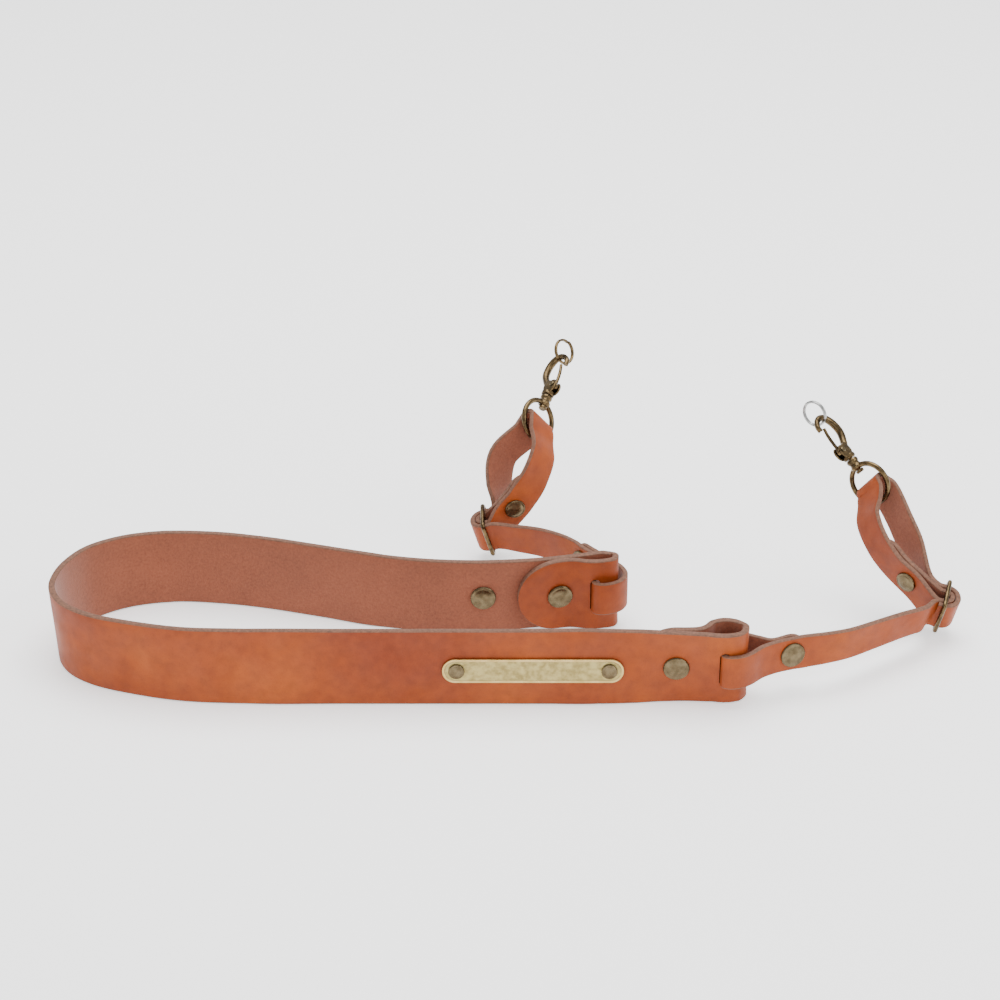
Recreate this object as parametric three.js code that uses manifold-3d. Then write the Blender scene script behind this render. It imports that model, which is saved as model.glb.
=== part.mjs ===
// A leather neck strap for a camera: one broad leather piece stands on edge in a long U, each end folds into
// a riveted loop, and a narrow connector runs from each loop through a slider to an eye ring, a trigger hook
// and a split ring. Millimetres, +Z up. Plan positions are shares of the spread between the two arms.
import * as THREE from "three";
import { mergeVertices } from "three/addons/utils/BufferGeometryUtils.js";
import Module from "manifold-3d";

const wasm = await Module();
wasm.setup();

// Driving dimensions
const armSpread = 100; // between the two arms at the far bend
const neckWidth = 38;
const neckThick = 3;
const bandWidth = 16.5; // the narrow connectors
const bandThick = 2.4;
const layGap = 0.4; // between leather layers and under metal
const slotLength = 17.9;
const slotBreadth = 4.8;
const rivetCap = 12; // diameter of a cap
const rivetCapHeight = 1.6;
const rivetShank = 3;
const holePlay = 0.4; // round a shank, on the radius
const plateLength = 82.5;
const plateHeight = 12.2;
const plateThick = 1;
const plateRivetInset = 6.6;
const plateRivetCap = 7.3;
const sliderRail = 2.2; // outer bars of the slider
const sliderBar = 2; // its middle bar
const sliderThick = 2;
const eyeRadius = 10; // centre line of the eye ring
const eyeWire = 2.6;
const collarDiameter = 6;
const collarLength = 6.1;
const stemDiameter = 2;
const hookWire = 3;
const hookLength = 24.5; // from the collar to the centre line of the bend
const gateThick = 1.7;
const gatePin = 1.4;
const splitRadius = 6;
const splitWire = 1.8;
const runGap = 0.3; // between metal parts that turn

const vec = (x, y, z) => new THREE.Vector3(x, y, z);
const up = vec(0, 0, 1);

const leather = () => new THREE.MeshStandardMaterial({ color: 0xb8643e, roughness: 0.6, metalness: 0 });
const brass = () => new THREE.MeshStandardMaterial({ color: 0x8f7a4c, roughness: 0.4, metalness: 1 });
const steel = () => new THREE.MeshStandardMaterial({ color: 0xb9b9b6, roughness: 0.3, metalness: 1 });

// Booleans
function solidOf(geometry) {
  const bare = geometry.clone();
  for (const name of ["normal", "uv"]) bare.deleteAttribute(name);
  const merged = mergeVertices(bare, 1e-3);
  const triVerts = new Uint32Array(merged.index.array);
  const vertProperties = new Float32Array(merged.attributes.position.array);
  const solid = new wasm.Manifold(new wasm.Mesh({ numProp: 3, vertProperties, triVerts }));
  if (solid.volume() > 0) return solid;
  for (let i = 0; i < triVerts.length; i += 3) triVerts.subarray(i, i + 3).reverse();
  return new wasm.Manifold(new wasm.Mesh({ numProp: 3, vertProperties, triVerts }));
}

function geometryOf(solid) {
  const mesh = solid.getMesh();
  const geometry = new THREE.BufferGeometry();
  geometry.setAttribute("position", new THREE.BufferAttribute(new Float32Array(mesh.vertProperties), 3));
  geometry.setIndex(new THREE.BufferAttribute(new Uint32Array(mesh.triVerts), 1));
  const flat = geometry.toNonIndexed();
  flat.computeVertexNormals();
  return flat;
}

const combine = (base, added, cut) => {
  let solid = solidOf(base);
  for (const piece of added) solid = solid.add(solidOf(piece));
  for (const piece of cut) solid = solid.subtract(solidOf(piece));
  return geometryOf(solid);
};

// Puts a geometry's x, y and z axes along three directions at a point.
function placed(geometry, x, y, z, at) {
  return geometry.applyMatrix4(new THREE.Matrix4().makeBasis(x, y, z).setPosition(at));
}

// A flat leather band: stations are { at, edge }, where edge points across the width. The width narrows
// to a half circle at an end that is marked round.
class Band {
  constructor(stations, width, thick) {
    Object.assign(this, { stations, width, thick });
    this.route = new THREE.CatmullRomCurve3(stations.map((s) => s.at), false, "centripetal");
    this.edges = new THREE.CatmullRomCurve3(stations.map((s) => s.edge.clone().normalize()));
    this.last = stations.length - 1;
  }

  frame(index) {
    const t = index / this.last;
    const at = this.route.getPoint(t);
    const along = this.route.getTangent(t);
    const edge = this.edges.getPoint(t);
    edge.addScaledVector(along, -edge.dot(along)).normalize();
    return { at, along, edge, face: along.clone().cross(edge) };
  }

  geometry(roundStart, roundEnd, steps = 4) {
    const indices = [];
    const places = [];
    for (let i = 0; i <= this.last * steps; i++) places.push(i / steps);
    const fine = [0.08, 0.3];
    if (roundStart) places.push(...fine.map((f) => f / 4));
    if (roundEnd) places.push(...fine.map((f) => this.last - f / 4));
    places.sort((a, b) => a - b);
    const frames = places.map((p) => this.frame(p));
    const travelled = [0];
    for (let i = 1; i < frames.length; i++)
      travelled.push(travelled[i - 1] + frames[i].at.distanceTo(frames[i - 1].at));
    const whole = travelled.at(-1);
    const radius = this.width / 2;
    const half = (s) => (s >= radius ? radius : Math.max(0.15 * radius, Math.sqrt(radius ** 2 - (radius - s) ** 2)));
    const points = [];
    frames.forEach((f, i) => {
      const reach = Math.min(roundStart ? half(travelled[i]) : radius, roundEnd ? half(whole - travelled[i]) : radius);
      for (const [across, through] of [[-1, -1], [1, -1], [1, 1], [-1, 1]]) {
        const p = f.at.clone().addScaledVector(f.edge, across * reach);
        points.push(...p.addScaledVector(f.face, (through * this.thick) / 2).toArray());
      }
    });
    for (let i = 0; i + 1 < frames.length; i++)
      for (let k = 0; k < 4; k++) {
        const [a, b] = [4 * i + k, 4 * i + ((k + 1) % 4)];
        indices.push(a, b, b + 4, a, b + 4, a + 4);
      }
    const end = 4 * (frames.length - 1);
    indices.push(0, 2, 1, 0, 3, 2, end, end + 1, end + 2, end, end + 2, end + 3);
    const geometry = new THREE.BufferGeometry();
    geometry.setAttribute("position", new THREE.Float32BufferAttribute(points, 3));
    return geometry.setIndex(indices);
  }
}

// Rivets: two caps on a shank, through the layers at a frame of a band
const rivetSeat = (frame, shift) => ({ ...frame, at: frame.at.clone().addScaledVector(frame.face, shift) });

function rivet(seat, grip, cap = rivetCap, height = rivetCapHeight) {
  const half = grip / 2 + layGap;
  const side = [
    [cap / 2, half],
    [cap / 2, half + 0.4 * height],
    [0.38 * cap, half + 0.85 * height],
    [0, half + height],
  ];
  const lower = side.map(([r, h]) => [r, -h]).reverse();
  const outline = [...lower, [rivetShank / 2, -half], [rivetShank / 2, half], ...side];
  const body = new THREE.LatheGeometry(outline.map(([r, h]) => new THREE.Vector2(r, h)), 20);
  return placed(body, seat.edge, seat.face, seat.edge.clone().cross(seat.face), seat.at);
}

function rivetHole(seat, length = 9) {
  const bore = new THREE.CylinderGeometry(rivetShank / 2 + holePlay, rivetShank / 2 + holePlay, length, 12);
  return placed(bore, seat.edge, seat.face, seat.edge.clone().cross(seat.face), seat.at);
}

// The neck strap. Columns: along x, along y (shares of armSpread), lean of the top outwards in degrees.
const foldFront = [[0.91, -1.984, 8], [0.965, -1.928, 8], [1.02, -1.905, 8], [1.075, -1.925, 8], [1.108, -1.975, 8],
  [1.085, -2.03, 8], [1.03, -2.05, 8], [0.94, -2.04, 8]];
const arms = [[0.84, -2.032, 7], [0.72, -2.03, 5], [0.62, -2.032, 2], [0.45, -2.034, 0], [0.2, -2.034, 0],
  [-0.1, -2.034, 0], [-0.4, -2.034, 0], [-0.75, -2.034, 0], [-1.15, -2.032, 0], [-1.45, -2.012, 1],
  [-1.7, -1.946, 2], [-1.88, -1.87, 3], [-2, -1.765, 4], [-2.06, -1.63, 4], [-2.06, -1.5, 4], [-2.025, -1.365, 3],
  [-1.95, -1.235, 2], [-1.8, -1.13, 1], [-1.6, -1.078, 0], [-1.35, -1.09, 0], [-1.1, -1.145, 0],
  [-0.85, -1.225, 0], [-0.55, -1.322, 0], [-0.3, -1.366, -1], [-0.08, -1.372, -2], [0.08, -1.354, -4],
  [0.2, -1.334, -5], [0.33, -1.305, -5]];
const foldBack = [[0.42, -1.282, -5], [0.49, -1.266, -5], [0.542, -1.292, -5], [0.535, -1.328, -5],
  [0.47, -1.352, -5], [0.41, -1.352, -5]];
const neckHigh = neckWidth / 2; // the centre line's height above the table

function plan([x, y, lean = 0], z, outward) {
  const tilt = THREE.MathUtils.degToRad(lean);
  const edge = up.clone().multiplyScalar(Math.cos(tilt)).addScaledVector(outward, Math.sin(tilt));
  return { at: vec(x * armSpread, y * armSpread, z), edge };
}

function neckStations() {
  const rows = [...foldFront, ...arms, ...foldBack];
  const points = rows.map(([x, y]) => vec(x * armSpread, y * armSpread, 0));
  const out = rows.map((row, i) => {
    const before = points[Math.max(0, i - 1)];
    const after = points[Math.min(rows.length - 1, i + 1)];
    return after.clone().sub(before).normalize().cross(up).negate();
  });
  // Before the front arm begins, the fold's back layer faces the other way, so it leans the same way in space.
  const lean = (i) => (i < foldFront.length ? vec(0, -1, 0) : i >= rows.length - foldBack.length ? vec(0, 1, 0) : out[i]);
  const made = rows.map((row, i) => plan(row, neckHigh, lean(i)));
  const layer = neckThick + layGap;
  const start = foldFront.length;
  const stop = rows.length - foldBack.length - 1;
  // Each flap lies flat on the inner face of its own arm, at the same stations.
  const onArm = (i) => ({ at: made[i].at.clone().addScaledVector(out[i], -layer), edge: made[i].edge.clone() });
  return [onArm(start + 2), onArm(start + 1), onArm(start), ...made, onArm(stop), onArm(stop - 1), onArm(stop - 2)];
}

const neck = new Band(neckStations(), neckWidth, neckThick);
const armStart = 3 + foldFront.length; // index of the front arm's first station
const armStop = armStart + arms.length - 1;
const innerLayer = (neckThick + layGap) / 2;
const inward = (frame, from) => (frame.face.dot(from) > 0 ? 1 : -1);
const frontRivetFrame = neck.frame(armStart + 0.35);
const backRivetFrame = neck.frame(armStop - 0.45);
const frontEndSeat = rivetSeat(frontRivetFrame, innerLayer * inward(frontRivetFrame, vec(0, 1, 0)));
const backEndSeat = rivetSeat(backRivetFrame, innerLayer * inward(backRivetFrame, vec(0, -1, 0)));
const spareSeat = neck.frame(armStop - 3);
const slotX = { front: 1.016 * armSpread, back: 0.45 * armSpread };
const slotY = { front: -1.975 * armSpread, back: -1.315 * armSpread };
const slotCut = (end) =>
  new THREE.BoxGeometry(slotBreadth, 26, slotLength).translate(slotX[end], slotY[end], neckHigh);

// The name plate, on the outer face of the front arm
const plateAt = vec(0.149 * armSpread, -2.034 * armSpread - neckThick / 2 - layGap - plateThick / 2, neckHigh - 1);
const plateSeats = [-1, 1].map((side) => ({
  at: vec(plateAt.x + side * (plateLength / 2 - plateRivetInset), -2.034 * armSpread - (plateThick + layGap) / 2, plateAt.z),
  edge: up.clone(),
  face: vec(0, 1, 0),
}));

function namePlate() {
  const [a, b, r] = [plateLength / 2, plateHeight / 2, plateHeight / 2 - 0.1];
  const outline = new THREE.Shape();
  outline.moveTo(-a + r, -b).lineTo(a - r, -b).absarc(a - r, -b + r, r, -Math.PI / 2, 0).lineTo(a, b - r);
  outline.absarc(a - r, b - r, r, 0, Math.PI / 2).lineTo(-a + r, b).absarc(-a + r, b - r, r, Math.PI / 2, Math.PI);
  outline.lineTo(-a, -b + r).absarc(-a + r, -b + r, r, Math.PI, 1.5 * Math.PI);
  const solid = new THREE.ExtrudeGeometry(outline, { depth: plateThick, bevelEnabled: false, curveSegments: 8 });
  solid.translate(0, 0, -plateThick / 2).rotateX(Math.PI / 2);
  const recess = new THREE.BoxGeometry(plateLength - 24, 0.5, plateHeight - 2.4).translate(0, -plateThick / 2, 0);
  solid.translate(plateAt.x, plateAt.y, plateAt.z);
  return combine(solid, [], [recess.translate(plateAt.x, plateAt.y, plateAt.z), ...plateSeats.map((s) => rivetHole(s))]);
}

// The hanging hardware of each side. Points are millimetres above the table and shares of armSpread in plan.
const wrapRadius = sliderBar / 2 + layGap + bandThick / 2 + 0.4;
const turnRadius = wrapRadius + bandThick + layGap;
const sliderHole = turnRadius + bandThick / 2 + layGap;
const loopRadius = eyeWire / 2 + layGap + bandThick / 2 + 0.7;
const edgePlay = 0.45; // between the leather's edges and the eye ring, where the leather turns
const turnLow = Math.sqrt(Math.max(0, (eyeRadius - eyeWire / 2) ** 2 - (bandWidth / 2 + edgePlay) ** 2));
const loopDrop = turnLow + loopRadius - 0.1; // from the eye ring's centre to the centre of the leather's turn

const sides = {
  right: {
    slider: vec(2.09 * armSpread, -1.4 * armSpread, 15),
    bar: vec(0.14, -0.39, 0.91),
    deep: vec(0.19, 0.98, 0),
    outward: vec(1, 0, 0),
    eye: vec(1.765 * armSpread, -1.01 * armSpread, 60.5),
    ring: vec(1.54 * armSpread, -0.83 * armSpread, 84),
    nearToFar: vec(0.62, 0.78, -0.02),
    loopRivet: 2.75, // in stations past the first of near
    near: [[1.75, -1.135, 48], [1.79, -1.215, 39], [1.855, -1.275, 31], [1.955, -1.345, 23]],
    far: [[2.02, -1.27, 20], [1.975, -1.17, 31], [1.92, -1.115, 43]],
    fold: [[1.18, -1.902, 19], [1.11, -1.87, 19], [1.045, -1.862, 19], [1.016, -1.878, 19], [1.009, -1.91, 19],
      [1.009, -2.05, 19], [1.014, -2.08, 19], [1.04, -2.09, 19], [1.09, -2.082, 19], [1.135, -2.05, 19]],
    joined: [[1.19, -1.99, 19], [1.25, -1.95, 19], [1.33, -1.915, 19], [1.41, -1.888, 19]],
    run: [[1.5, -1.862, 19], [1.6, -1.815, 18.5], [1.73, -1.725, 18], [1.86, -1.632, 17.5], [1.97, -1.55, 16.5]],
  },
  left: {
    slider: vec(-0.06 * armSpread, -0.62 * armSpread, 15),
    bar: vec(-0.27, -0.2, 0.93),
    deep: vec(0.05, 0.99, 0),
    outward: vec(-1, 0, 0),
    eye: vec(0.188 * armSpread, -0.383 * armSpread, 64),
    ring: vec(0.311 * armSpread, -0.069 * armSpread, 84),
    nearToFar: vec(-0.73, 0.55, -0.42),
    loopRivet: 2.45,
    near: [[0.21, -0.555, 54], [0.17, -0.615, 44], [0.105, -0.63, 33], [0.03, -0.635, 23]],
    far: [[0.005, -0.54, 21], [-0.005, -0.49, 34], [0.015, -0.455, 48]],
    fold: [[0.515, -1.145, 19], [0.575, -1.22, 19], [0.594, -1.3, 19], [0.56, -1.37, 19], [0.49, -1.402, 19],
      [0.452, -1.392, 19], [0.443, -1.36, 19], [0.443, -1.25, 19], [0.45, -1.21, 19]],
    joined: [[0.468, -1.155, 19], [0.445, -1.09, 19], [0.4, -1.02, 18.5], [0.35, -0.945, 18.5]],
    run: [[0.29, -0.87, 18], [0.2, -0.79, 17], [0.1, -0.735, 16]],
  },
};

for (const side of Object.values(sides)) {
  side.bar.normalize();
  side.deep.addScaledVector(side.bar, -side.deep.dot(side.bar)).normalize();
  side.out = side.deep.clone().cross(side.bar);
  if (side.out.dot(side.outward) < 0) side.out.negate();
  side.axis = side.ring.clone().sub(side.eye).normalize();
  side.nearToFar.addScaledVector(side.axis, -side.nearToFar.dot(side.axis)).normalize();
  side.across = side.axis.clone().cross(side.nearToFar);
  if (side.across.z < 0) side.across.negate();
}

function connector(side) {
  const plain = ([x, y, z], edge) => ({ at: vec(x * armSpread, y * armSpread, z), edge });
  const mixed = (row, share) => plain(row, up.clone().lerp(side.bar, share));
  const joined = side.joined.map((row) => plain(row, up));
  const layer = bandThick + layGap;
  const beside = (list, i, sign) => {
    const along = list[Math.min(i + 1, list.length - 1)].at.clone().sub(list[Math.max(i - 1, 0)].at).normalize();
    const shift = along.cross(list[i].edge).normalize().multiplyScalar(sign * layer);
    return { at: list[i].at.clone().add(shift), edge: list[i].edge };
  };
  const probe = joined[1].at.clone().sub(joined[0].at).cross(up);
  const toFold = plain(side.fold[0], up).at.sub(joined[0].at);
  const tabSign = Math.sign(probe.dot(toFold));
  const tab = [3, 2, 1].map((i) => beside(joined, i, tabSign));
  const wrap = (radius, degrees, lift = 0) => {
    const angle = THREE.MathUtils.degToRad(degrees);
    const at = side.slider.clone().addScaledVector(side.deep, -radius * Math.cos(angle));
    return { at: at.addScaledVector(side.out, radius * Math.sin(angle) + lift), edge: side.bar };
  };
  const loop = (degrees) => {
    const angle = THREE.MathUtils.degToRad(degrees);
    const at = side.eye.clone().addScaledVector(side.nearToFar, loopRadius * Math.cos(angle));
    return { at: at.addScaledVector(side.axis, loopRadius * Math.sin(angle) - loopDrop), edge: side.across };
  };
  const hang = (row, share) => plain(row, side.bar.clone().lerp(side.across, share));
  const past = { ...loop(0), at: loop(0).at.addScaledVector(side.axis, -4).addScaledVector(side.nearToFar, 1.5) };
  const near = side.near.map((row, i) => hang(row, [0.75, 0.45, 0.12, 0.12][i]));
  const back = { ...loop(180), at: loop(180).at.lerp(near[0].at, 0.4) };
  const before = [
    ...tab,
    ...side.fold.map((row) => plain(row, up)),
    ...joined,
    ...side.run.map((row, i) => mixed(row, (i + 1) / (side.run.length + 1))),
    wrap(turnRadius, 0, -4), wrap(turnRadius, 0), wrap(turnRadius, 45), wrap(turnRadius, 90), wrap(turnRadius, 135),
    wrap(turnRadius, 180), wrap(turnRadius, 180, -4),
    ...side.far.map((row, i) => hang(row, 0.2 + 0.25 * i)),
    past, loop(0), loop(45), loop(90), loop(135), loop(180), back,
  ];
  const inner = [3, 2, 1].map((i) => {
    const one = beside(near, i, 1);
    const other = beside(near, i, -1);
    return one.at.distanceTo(plain(side.far[1], up).at) < other.at.distanceTo(plain(side.far[1], up).at) ? one : other;
  });
  const after = [wrap(wrapRadius, 0, -4), wrap(wrapRadius, 0), wrap(wrapRadius, 60), wrap(wrapRadius, 120),
    wrap(wrapRadius, 180), wrap(wrapRadius, 180, -3)];
  const band = new Band([...before, ...near, ...after, ...inner], bandWidth, bandThick);
  const foldIndex = tab.length + side.fold.length + 2;
  const loopIndex = before.length + side.loopRivet;
  const foldFrame = band.frame(foldIndex);
  const loopFrame = band.frame(loopIndex);
  const foldShift = Math.sign(foldFrame.face.dot(tab[1].at.clone().sub(foldFrame.at)));
  const loopShift = Math.sign(loopFrame.face.dot(inner[1].at.clone().sub(loopFrame.at)));
  return {
    band,
    foldSeat: rivetSeat(foldFrame, (foldShift * layer) / 2),
    loopSeat: rivetSeat(loopFrame, (loopShift * layer) / 2),
  };
}

function slider(side) {
  const high = bandWidth / 2 + 0.6;
  const frame = new THREE.Shape();
  const [a, b, r] = [sliderHole + sliderRail, high + 1.7, 2];
  frame.moveTo(-a + r, -b).lineTo(a - r, -b).absarc(a - r, -b + r, r, -Math.PI / 2, 0).lineTo(a, b - r);
  frame.absarc(a - r, b - r, r, 0, Math.PI / 2).lineTo(-a + r, b).absarc(-a + r, b - r, r, Math.PI / 2, Math.PI);
  frame.lineTo(-a, -b + r).absarc(-a + r, -b + r, r, Math.PI, 1.5 * Math.PI);
  const plate = new THREE.ExtrudeGeometry(frame, { depth: sliderThick, bevelEnabled: false, curveSegments: 4 });
  plate.translate(0, 0, -sliderThick / 2);
  const slot = (sign) => {
    const breadth = sliderHole - sliderBar / 2;
    const hole = new THREE.BoxGeometry(breadth, 2 * high, 3 * sliderThick);
    return hole.translate(sign * (sliderBar / 2 + breadth / 2), 0, 0);
  };
  return placed(combine(plate, [], [slot(-1), slot(1)]), side.deep, side.bar, side.deep.clone().cross(side.bar), side.slider);
}

// Hook coordinates: y runs along the hook's axis from the eye ring's centre, x to the hook's back
const collarTop = eyeRadius - 1.6 + collarLength;
const hookBase = collarTop + runGap;
const hookX = (side) => side.nearToFar;
const inHook = (side, geometry) =>
  placed(geometry, hookX(side), side.axis, hookX(side).clone().cross(side.axis), side.eye);
const turned = (radius, from, to, segments = 14) =>
  new THREE.CylinderGeometry(radius, radius, to - from, segments).translate(0, (from + to) / 2, 0);

function eyeRing(side) {
  const ring = new THREE.TorusGeometry(eyeRadius, eyeWire / 2, 8, 36).rotateY(Math.PI / 2);
  const collar = turned(collarDiameter / 2, collarTop - collarLength, collarTop);
  const bore = turned(stemDiameter / 2 + runGap, eyeRadius - 4, collarTop + 1);
  return inHook(side, combine(ring, [collar], [bore]));
}

const pinAt = vec(-3, hookBase + 5.5, 0);
const noseEnd = vec(-4.8, hookBase + 0.76 * hookLength, 0);

function hook(side) {
  const path = [[0, 0.03], [0.4, 0.16], [3.6, 0.34], [6.4, 0.56], [5.9, 0.8], [3.2, 0.96], [0, 1], [-3, 0.95],
    [-4.7, 0.86]].map(([x, y]) => vec(x, hookBase + y * hookLength, 0));
  const section = new THREE.Shape().absarc(0, 0, hookWire / 2, 0, 2 * Math.PI);
  const route = new THREE.CatmullRomCurve3([...path, noseEnd], false, "centripetal");
  const bend = new THREE.ExtrudeGeometry(section, { steps: 26, curveSegments: 8, bevelEnabled: false, extrudePath: route });
  const flange = turned(3.2, hookBase, hookBase + 2.4);
  const stem = turned(stemDiameter / 2, collarTop - collarLength - 1, hookBase + 1);
  const headTop = collarTop - collarLength - runGap;
  const head = turned(2, headTop - 1.4, headTop);
  const cheeks = new THREE.BoxGeometry(6.4, 7.4, 5).translate(-1.6, hookBase + 5.3, 0);
  const slot = new THREE.BoxGeometry(6, 9, gateThick + 2 * runGap).translate(pinAt.x - 0.2, hookBase + 7, 0);
  const bore = new THREE.CylinderGeometry(gatePin / 2 + runGap, gatePin / 2 + runGap, 8, 12).rotateX(Math.PI / 2);
  return inHook(side, combine(bend, [flange, stem, head, cheeks], [slot, bore.translate(pinAt.x, pinAt.y, 0)]));
}

function gate(side) {
  const [top, thick] = [0.79 * hookLength - 5.5, 0.75];
  const lever = new THREE.Shape();
  lever.moveTo(1.7, 0).quadraticCurveTo(0.9, 0.5 * top, 1.4 + thick, top).lineTo(1.4 - thick, top);
  lever.quadraticCurveTo(-0.9, 0.5 * top, -1.7, 0).absarc(0, 0, 1.7, Math.PI, 2 * Math.PI);
  const plate = new THREE.ExtrudeGeometry(lever, { depth: gateThick, bevelEnabled: false, curveSegments: 8 });
  const bore = new THREE.CylinderGeometry(gatePin / 2 + runGap, gatePin / 2 + runGap, 8, 12).rotateX(Math.PI / 2);
  const drilled = combine(plate.translate(0, 0, -gateThick / 2), [], [bore]);
  return inHook(side, drilled.translate(pinAt.x, pinAt.y, 0));
}

function gatePivot(side) {
  const pin = new THREE.CylinderGeometry(gatePin / 2, gatePin / 2, 5.6, 12);
  const head = new THREE.CylinderGeometry(1.3, 1.3, 0.5, 12).translate(0, 3.05, 0);
  const tail = new THREE.CylinderGeometry(1.3, 1.3, 0.5, 12).translate(0, -3.05, 0);
  const whole = combine(pin, [head, tail], []).rotateX(Math.PI / 2);
  return inHook(side, whole.translate(pinAt.x, pinAt.y, 0));
}

const splitAt = hookBase + hookLength - hookWire / 2 - runGap - splitWire / 2 + splitRadius;

function splitRing(side) {
  const ring = new THREE.TorusGeometry(splitRadius, splitWire / 2, 8, 28).rotateY(Math.PI / 2);
  return inHook(side, ring.translate(0, splitAt, 0));
}

// Assembly: the origin is the centre of the right-hand split ring, where a camera's lug carries the strap.
const strap = new THREE.Group();
const originAt = sides.right.eye.clone().addScaledVector(sides.right.axis, splitAt);
strap.position.copy(originAt).negate();
const add = (name, geometry, material) => {
  const mesh = new THREE.Mesh(geometry, material);
  mesh.name = name;
  strap.add(mesh);
};

const neckHoles = [frontEndSeat, backEndSeat, spareSeat, ...plateSeats].map((seat) => rivetHole(seat));
add("neck_strap", combine(neck.geometry(true, true, 3), [], [slotCut("front"), slotCut("back"), ...neckHoles]), leather());
add("name_plate", namePlate(), brass());
const twoNeck = 2 * neckThick + layGap;
add("rivet_front_end", rivet(frontEndSeat, twoNeck), brass());
add("rivet_back_end", rivet(backEndSeat, twoNeck), brass());
add("rivet_spare", rivet(spareSeat, neckThick), brass());
plateSeats.forEach((seat, i) => {
  add("rivet_plate_" + (i + 1), rivet(seat, neckThick + layGap + plateThick, plateRivetCap, 1), brass());
});
for (const [name, side] of Object.entries(sides)) {
  const { band, foldSeat, loopSeat } = connector(side);
  const holes = [rivetHole(foldSeat, 7), rivetHole(loopSeat, 7)];
  const grip = 2 * bandThick + layGap;
  add("connector_" + name, combine(band.geometry(true, true, 3), [], holes), leather());
  add("rivet_fold_" + name, rivet(foldSeat, grip), brass());
  add("rivet_loop_" + name, rivet(loopSeat, grip, 0.85 * rivetCap), brass());
  add("slider_" + name, slider(side), brass());
  add("eye_ring_" + name, eyeRing(side), brass());
  add("hook_" + name, hook(side), brass());
  add("gate_" + name, gate(side), brass());
  add("gate_pin_" + name, gatePivot(side), brass());
  add("split_ring_" + name, splitRing(side), steel());
}

const assembly = new THREE.Group();
assembly.add(strap);
export default assembly;
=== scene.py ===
# %% [markdown]
# A camera's leather neck strap, finished in Blender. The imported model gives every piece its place; this
# script gives the leather its thickness, edges and grain, and the metal its rounded, worn form. The
# camera comes first, because every later choice of detail is judged from it.

# %% Load the frame
import math
import bmesh
import bpy
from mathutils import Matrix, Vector, noise


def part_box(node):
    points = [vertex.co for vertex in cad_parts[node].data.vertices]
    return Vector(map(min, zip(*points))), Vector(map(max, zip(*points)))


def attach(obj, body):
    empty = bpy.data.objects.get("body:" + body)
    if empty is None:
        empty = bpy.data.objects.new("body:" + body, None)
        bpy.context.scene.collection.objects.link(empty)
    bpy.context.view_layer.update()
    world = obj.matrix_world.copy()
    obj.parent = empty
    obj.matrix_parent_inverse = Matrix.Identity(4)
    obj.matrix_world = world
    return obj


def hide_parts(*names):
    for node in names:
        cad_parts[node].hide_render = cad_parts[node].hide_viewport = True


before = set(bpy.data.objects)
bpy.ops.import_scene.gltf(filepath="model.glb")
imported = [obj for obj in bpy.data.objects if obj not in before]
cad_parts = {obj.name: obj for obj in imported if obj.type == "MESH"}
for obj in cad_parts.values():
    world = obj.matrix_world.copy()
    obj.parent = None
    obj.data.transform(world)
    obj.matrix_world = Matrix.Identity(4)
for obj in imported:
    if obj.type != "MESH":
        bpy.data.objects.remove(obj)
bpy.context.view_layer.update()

MM = 0.001

# %% [markdown]
# The model's origin is the right-hand split ring. The strap is easier to describe from the table that it
# stands on, so these lines work out where that table is: the ring lies along the hook's axis from the eye
# ring. Each side's own places stand in one table. Single points are millimetres above the table. The rows
# of the connector's route are shares of SPREAD, the distance between the arms at the far bend, with their
# height in millimetres.

# %% Where the table is
EYE_RADIUS, EYE_WIRE = 10, 2.6
COLLAR_START, COLLAR_END = 8.4, 14.5
HOOK_BASE, HOOK_LENGTH, HOOK_WIRE = 14.8, 24.5, 3
RING_RADIUS, RING_WIRE, RUN_GAP = 6, 1.8, 0.3
RING_AT = HOOK_BASE + HOOK_LENGTH - HOOK_WIRE / 2 - RUN_GAP - RING_WIRE / 2 + RING_RADIUS
SPREAD = 100

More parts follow.
